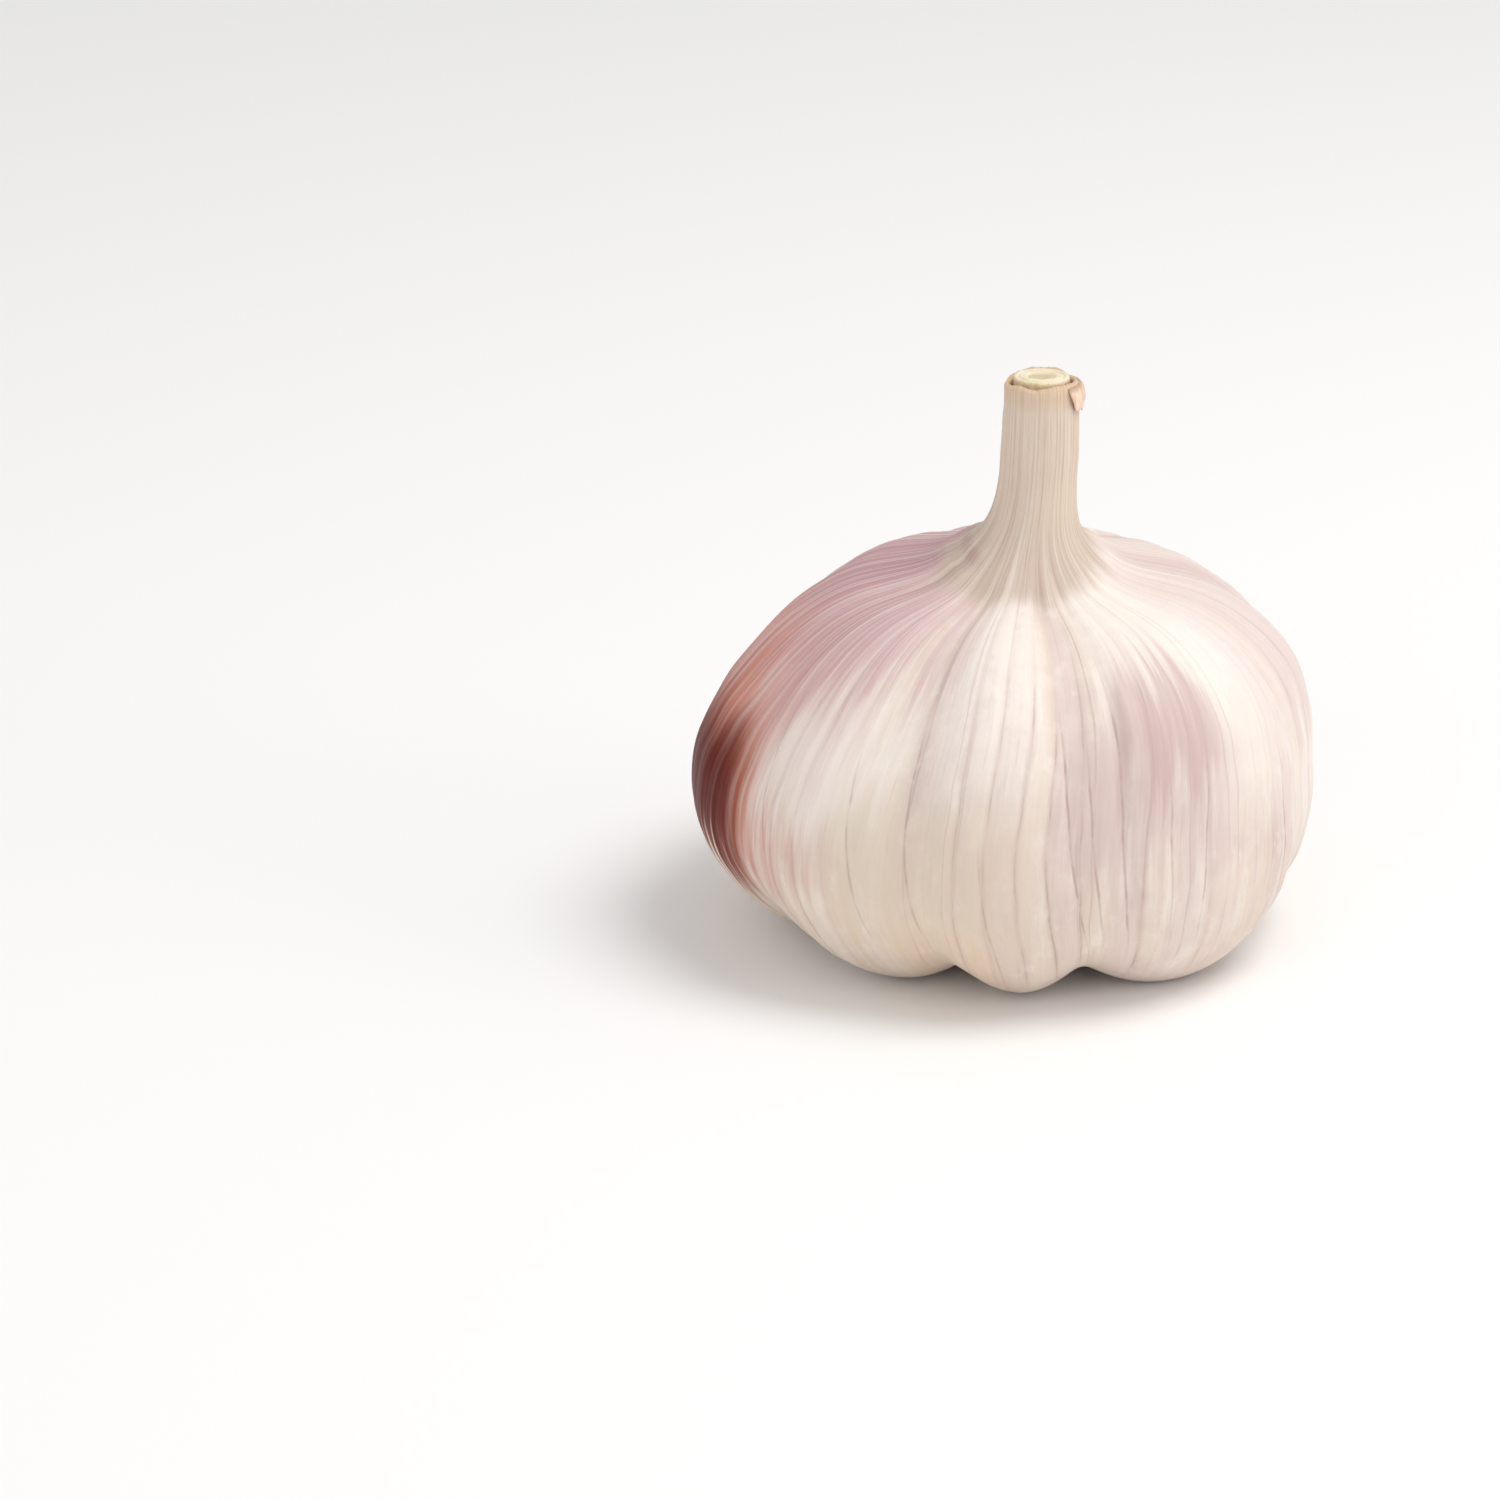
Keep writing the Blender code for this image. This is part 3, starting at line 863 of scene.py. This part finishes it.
def plateTree(material):
    tree = bpy.data.node_groups.new("root plate", "GeometryNodeTree")
    tree.interface.new_socket(name="Geometry", in_out="INPUT", socket_type="NodeSocketGeometry")
    kinds = {
        "Radius": ("Float", rootPlate["radius"]),
        "Edge": ("Float", rootPlate["edge"]),
        "Rim roots": ("Int", rootPlate["rimRoots"]),
        "Face roots": ("Int", rootPlate["faceRoots"]),
        "Root length": ("Float", rootPlate["rootLength"]),
        "Root width": ("Float", rootPlate["rootWidth"]),
    }
    for name, (kind, value) in kinds.items():
        treeInput(tree, name, kind, value)
    tree.interface.new_socket(name="Geometry", in_out="OUTPUT", socket_type="NodeSocketGeometry")
    wire = Wire(tree)
    given = wire.node("NodeGroupInput", {}, {})
    sizes = {name: given.other(name) for name in kinds}
    disc = corkyDisc(wire, given.other("Geometry"))
    rim = rootFringe(wire, sizes)
    face = faceStubs(wire, sizes)
    whole = wire.node("GeometryNodeJoinGeometry", {}, {"Geometry": [disc, rim, face]})
    whole = wire.node("GeometryNodeRealizeInstances", {}, {"Geometry": whole})
    whole = wire.node("GeometryNodeSetMaterial", {}, {"Geometry": whole, "Material": material})
    wire.node("NodeGroupOutput", {}, {"Geometry": whole})
    return tree


def corkyDisc(wire, disc):
    # lumps and pits pressed into the turned disc, deepest near its middle
    place = wire.node("GeometryNodeInputPosition", {}, {})
    spot = wire.node("ShaderNodeSeparateXYZ", {}, {0: place})
    radius = (spot.other("X") ** 2 + spot.other("Y") ** 2) ** 0.5
    angle = spot.maths("ARCTAN2", spot.other("Y"), spot.other("X"))
    under = spot.other("Z").step(1.4 * mm, 0.9 * mm)
    lumps = place.noise(420.0, 4.0, 0.6)
    pits = place.noise(1500.0, 3.0, 0.6)
    ring = wire.vector(angle.maths("COSINE", angle), angle.maths("SINE", angle), radius * 60.0)
    spokes = ring.noise(7.0, 3.0)
    middle = radius.step(0.0, 0.55 * rootPlate["radius"])
    lift = (lumps - 0.25) * 0.7 + (pits - 0.4) * 0.35 + (spokes - 0.4) * 0.5 + (1 - middle) * 0.9
    rise = lift.maths("MAXIMUM", lift, 0.0) * under * (0.55 * mm)
    shift = wire.vector(0.0, 0.0, rise)
    moved = wire.node("GeometryNodeSetPosition", {}, {"Geometry": disc, "Offset": shift})
    return wire.node("GeometryNodeSetShadeSmooth", {}, {0: moved})


def rootStub(wire, sizes):
    # one trimmed root: a short tapering stick of a few faces that lies along Z
    return wire.node("GeometryNodeMeshCone", {}, {
        "Vertices": 6, "Side Segments": 3, "Fill Segments": 1,
        "Radius Top": sizes["Root width"] * 0.6, "Radius Bottom": sizes["Root width"],
        "Depth": sizes["Root length"],
    })


def rootFringe(wire, sizes):
    # roots round the rim lean out and along it
    loop = wire.node("GeometryNodeCurvePrimitiveCircle", {"mode": "RADIUS"}, {
        "Resolution": 128, "Radius": sizes["Radius"] - 0.2 * mm,
    })
    points = wire.node("GeometryNodeCurveToPoints", {"mode": "COUNT"}, {
        "Curve": loop, "Count": sizes["Rim roots"],
    })
    place = wire.node("GeometryNodeInputPosition", {}, {})
    spot = wire.node("ShaderNodeSeparateXYZ", {}, {0: place})
    angle = spot.maths("ARCTAN2", spot.other("Y"), spot.other("X"))
    back = randomFloat(wire, -0.7 * mm, 0.45 * mm, 3)
    up = randomFloat(wire, 0.42 * mm, 1.25 * mm, 4)
    shift = wire.vector(angle.maths("COSINE", angle) * back, angle.maths("SINE", angle) * back, up)
    points = wire.node("GeometryNodeSetPosition", {}, {"Geometry": points, "Offset": shift})
    aim = wire.vector(0.0, randomFloat(wire, 1.25, 1.75, 5), angle + randomFloat(wire, -0.7, 0.7, 6))
    return scatter(wire, points, rootStub(wire, sizes), aim, randomFloat(wire, 0.35, 1.0, 7))


def faceStubs(wire, sizes):
    # stumps of roots over the underside, in loose rings
    loop = wire.node("GeometryNodeCurvePrimitiveCircle", {"mode": "RADIUS"}, {
        "Resolution": 128, "Radius": sizes["Radius"] * 0.82,
    })
    points = wire.node("GeometryNodeCurveToPoints", {"mode": "COUNT"}, {
        "Curve": loop, "Count": sizes["Face roots"],
    })
    inward = randomFloat(wire, 0.62, 1.06, 13)
    place = wire.node("GeometryNodeInputPosition", {}, {})
    spot = wire.node("ShaderNodeSeparateXYZ", {}, {0: place})
    angle = spot.maths("ARCTAN2", spot.other("Y"), spot.other("X"))
    height = randomFloat(wire, 0.55 * mm, 0.85 * mm, 14)
    moved = wire.vector(spot.other("X") * inward, spot.other("Y") * inward, height)
    points = wire.node("GeometryNodeSetPosition", {}, {"Geometry": points, "Position": moved})
    aim = wire.vector(0.0, randomFloat(wire, 0.9, 1.7, 15), angle + randomFloat(wire, -1.6, 1.6, 16))
    return scatter(wire, points, rootStub(wire, sizes), aim, randomFloat(wire, 0.25, 0.5, 17))


def randomFloat(wire, low, high, seed):
    # the float sockets of Random Value are its third and fourth, and its second output
    return wire.node("FunctionNodeRandomValue", {"data_type": "FLOAT"}, {2: low, 3: high, "Seed": seed}, 1)


def scatter(wire, points, stub, aim, size):
    turned = wire.node("FunctionNodeEulerToRotation", {}, {0: aim})
    return wire.node("GeometryNodeInstanceOnPoints", {}, {
        "Points": points, "Instance": stub, "Rotation": turned, "Scale": wire.vector(size, size, size),
    })


def growPlate(material):
    radius = rootPlate["radius"]
    edge = rootPlate["edge"]
    count = rootPlate["rows"]
    inner = radius - edge
    rows = [(inner * number / count, 0.02 * mm) for number in range(count + 1)]
    for turn in (0.3, 0.6, 0.9, 1.2, 1.5):
        rows.append((inner + edge * math.sin(turn), edge - edge * math.cos(turn)))
    rows += [(radius, 0.8 * plateHigh.z), (radius - 0.4 * mm, plateHigh.z), (0.5 * radius, plateHigh.z)]
    rows += [(0.0, plateHigh.z)]
    shape = bmesh.new()
    spinRows(shape, rows, rootPlate["columns"])
    bmesh.ops.recalc_face_normals(shape, faces=shape.faces)
    plate = plainPiece("corky_root_plate", shape, material)
    grow = plate.modifiers.new("Roots", "NODES")
    grow.node_group = plateTree(material)
    return bakeDown(plate)


def plateMaterial():
    material, shader, wire = newMaterial("corky root plate", {"Roughness": 0.85})
    spot = wire.node("ShaderNodeTexCoord", {}, {}, "Object")
    place = wire.node("ShaderNodeSeparateXYZ", {}, {0: spot})
    radius = (place.other("X") ** 2 + place.other("Y") ** 2) ** 0.5
    lumps = spot.noise(420.0, 4.0, 0.6)
    grain = spot.noise(2200.0, 3.0, 0.65)
    shade = lumps.step(0.35, 0.65).blend(rootPlate["dark"], rootPlate["cork"])
    shade = (grain.step(0.50, 0.72) * 0.6).blend(shade, rootPlate["pale"])
    shade = (grain.step(0.42, 0.26) * 0.7).blend(shade, rootPlate["pits"])
    rim = radius.step(6.4 * mm, 8.4 * mm)
    shade = (rim * grain.step(0.38, 0.60) * 0.75).blend(shade, rootPlate["rim"])
    uneven = grain + lumps * 0.5
    bump = wire.node("ShaderNodeBump", {}, {"Strength": 0.6, "Distance": 0.2 * mm, "Height": uneven})
    feed(shader, colour=shade, roughness=0.75 + grain * 0.2, normal=bump)
    return material


tear = {
    "direction": math.radians(-12),
    "halfWidth": 0.62,                   # radians round the neck
    "length": 2.1 * mm,
    "top": bulbHigh.z - 0.10 * mm,
    "thickness": 0.10 * mm,
    "curl": 0.62 * mm,
    "ragged": 0.14,                      # shares of the length
    "slant": 0.22,
    "seed": 21,
    "dark": colour(0.74, 0.50, 0.34),
    "light": colour(0.88, 0.68, 0.53),
    "cut": colour(0.40, 0.24, 0.12),
}


def growTear(material):
    # a strip of the outermost skin that has come away from the neck and curls outward
    across, down = 14, 22
    chance = random.Random(tear["seed"])
    ragged = [chance.uniform(-tear["ragged"], tear["ragged"]) for column in range(across + 1)]
    shape = bmesh.new()
    grid = []
    for row in range(down + 1):
        share = row / down
        line = []
        for column in range(across + 1):
            side = 2 * column / across - 1
            length = tear["length"] * (1 + ragged[column] - tear["slant"] * side) * (1 - 0.30 * side ** 4)
            bow = math.sin(0.62 * math.pi * share)
            height = tear["top"] - length * (share - 0.10 * bow * (1 - share))
            around = tear["direction"] + side * tear["halfWidth"] * (1 - 0.25 * share ** 2)
            stand = bulb["rimRadius"] + 0.06 * mm + tear["curl"] * bow * (0.72 + 0.28 * side)
            stand += 0.05 * mm * math.sin(7 * side + 4 * share)
            line.append(shape.verts.new((stand * math.cos(around), stand * math.sin(around), height)))
        grid.append(line)
    for upper, lower in zip(grid, grid[1:]):
        for column in range(across):
            shape.faces.new((upper[column], lower[column], lower[column + 1], upper[column + 1]))
    bmesh.ops.recalc_face_normals(shape, faces=shape.faces)
    piece = plainPiece("torn_skin", shape, material)
    thick = piece.modifiers.new("Thickness", "SOLIDIFY")
    thick.thickness = tear["thickness"]
    thick.offset = 0.0
    return bakeDown(piece)


def tearMaterial():
    material, shader, wire = newMaterial("torn dry skin", {"Roughness": 0.5})
    spot = wire.node("ShaderNodeTexCoord", {}, {}, "Object")
    fibre = spot.times(2600.0, 2600.0, 260.0).noise(1.0, 3.0)
    shade = fibre.step(0.35, 0.65).blend(tear["dark"], tear["light"])
    place = wire.node("ShaderNodeSeparateXYZ", {}, {0: spot})
    # a darker band along the top of the strip: partly the cut edge's own brown, partly painted shadow where
    # the strip meets the rim
    edge = place.other("Z").step(tear["top"] - 0.7 * mm, tear["top"])
    shade = (edge * 0.7).blend(shade, tear["cut"])
    bump = wire.node("ShaderNodeBump", {}, {"Strength": 0.4, "Distance": 0.0001, "Height": fibre})
    feed(shader, colour=shade, roughness=0.45 + fibre * 0.2, normal=bump)
    return material


stage = {
    "floorRadius": 3.0,
    "floorHeight": -0.02 * mm,           # just under the bulb, so that the two don't share a plane
    "floorColour": colour(0.93, 0.925, 0.92),
    "worldStrength": 0.65,
    "cameraElevation": 20.0,
    "cameraDistance": 0.55,
    "sensor": 36.0,
    "lens": 137.28,
    "right": 27.1 * mm,                  # how far right of and below the view's middle the bulb stands
    "below": 16.0 * mm,
    "lit": (0.0, 0.0, 0.02),             # the point that every light faces
    "lights": [                          # name, place, size across, power, tint
        ("key", (0.30, -0.06, 0.66), 0.42, 2.4, (1.0, 0.99, 0.975)),
        ("fill", (-0.45, -0.55, 0.32), 0.40, 0.6, (0.97, 0.98, 1.0)),
        ("side", (0.62, -0.25, 0.22), 0.35, 0.5, (1.0, 0.99, 0.98)),
    ],
}


def layFloor():
    shape = bmesh.new()
    bmesh.ops.create_circle(shape, cap_ends=True, segments=96, radius=stage["floorRadius"])
    bmesh.ops.translate(shape, vec=(0.0, 0.0, stage["floorHeight"]), verts=shape.verts)
    material = newMaterial("pale floor", {"Base Color": stage["floorColour"], "Roughness": 0.9})[0]
    floor = plainPiece("floor", shape, material)


def softLight(name, place, size, power, tint):
    data = bpy.data.lights.new(name, "AREA")
    data.shape = "DISK"
    data.size = size
    data.energy = power
    data.color = tint
    made = bpy.data.objects.new(name, data)
    made.location = place
    aim = Vector(stage["lit"]) - Vector(place)
    made.rotation_euler = aim.to_track_quat("-Z", "Y").to_euler()
    bpy.context.scene.collection.objects.link(made)


def setLights():
    world = bpy.data.worlds.new("studio")
    world.use_nodes = True
    back = world.node_tree.nodes["Background"]
    back.inputs["Color"].default_value = colour(1.0, 1.0, 1.0)
    back.inputs["Strength"].default_value = stage["worldStrength"]
    bpy.context.scene.world = world
    for name, place, size, power, tint in stage["lights"]:
        softLight(name, place, size, power, tint)
    bpy.context.scene.view_settings.view_transform = "Standard"


def setCamera():
    data = bpy.data.cameras.new("camera")
    data.sensor_width = stage["sensor"]
    data.lens = stage["lens"]
    data.clip_start = 0.01
    camera = bpy.data.objects.new("camera", data)
    tilt = math.radians(stage["cameraElevation"])
    turned = Matrix.Rotation(math.pi / 2 - tilt, 4, "X")
    offset = turned @ Vector((-stage["right"], stage["below"], stage["cameraDistance"]))
    camera.matrix_world = Matrix.Translation(offset) @ turned
    bpy.context.scene.collection.objects.link(camera)
    bpy.context.scene.camera = camera


def main():
    skinBody = growBulb(skinMaterial())
    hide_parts("bulb")
    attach(skinBody, "root")
    print("bulb skin:", len(skinBody.data.polygons), "faces")

    cutStalk = growStalk(stalkMaterial())
    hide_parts("stalk")
    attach(cutStalk, "root")
    print("stalk:", len(cutStalk.data.polygons), "faces")

    plate = growPlate(plateMaterial())
    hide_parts("root_plate")
    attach(plate, "root")
    print("root plate:", len(plate.data.polygons), "faces")

    torn = growTear(tearMaterial())
    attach(torn, "root")
    print("torn skin:", len(torn.data.polygons), "faces")

    layFloor()
    setLights()
    setCamera()
    print("floor, lights and camera are set")


main()
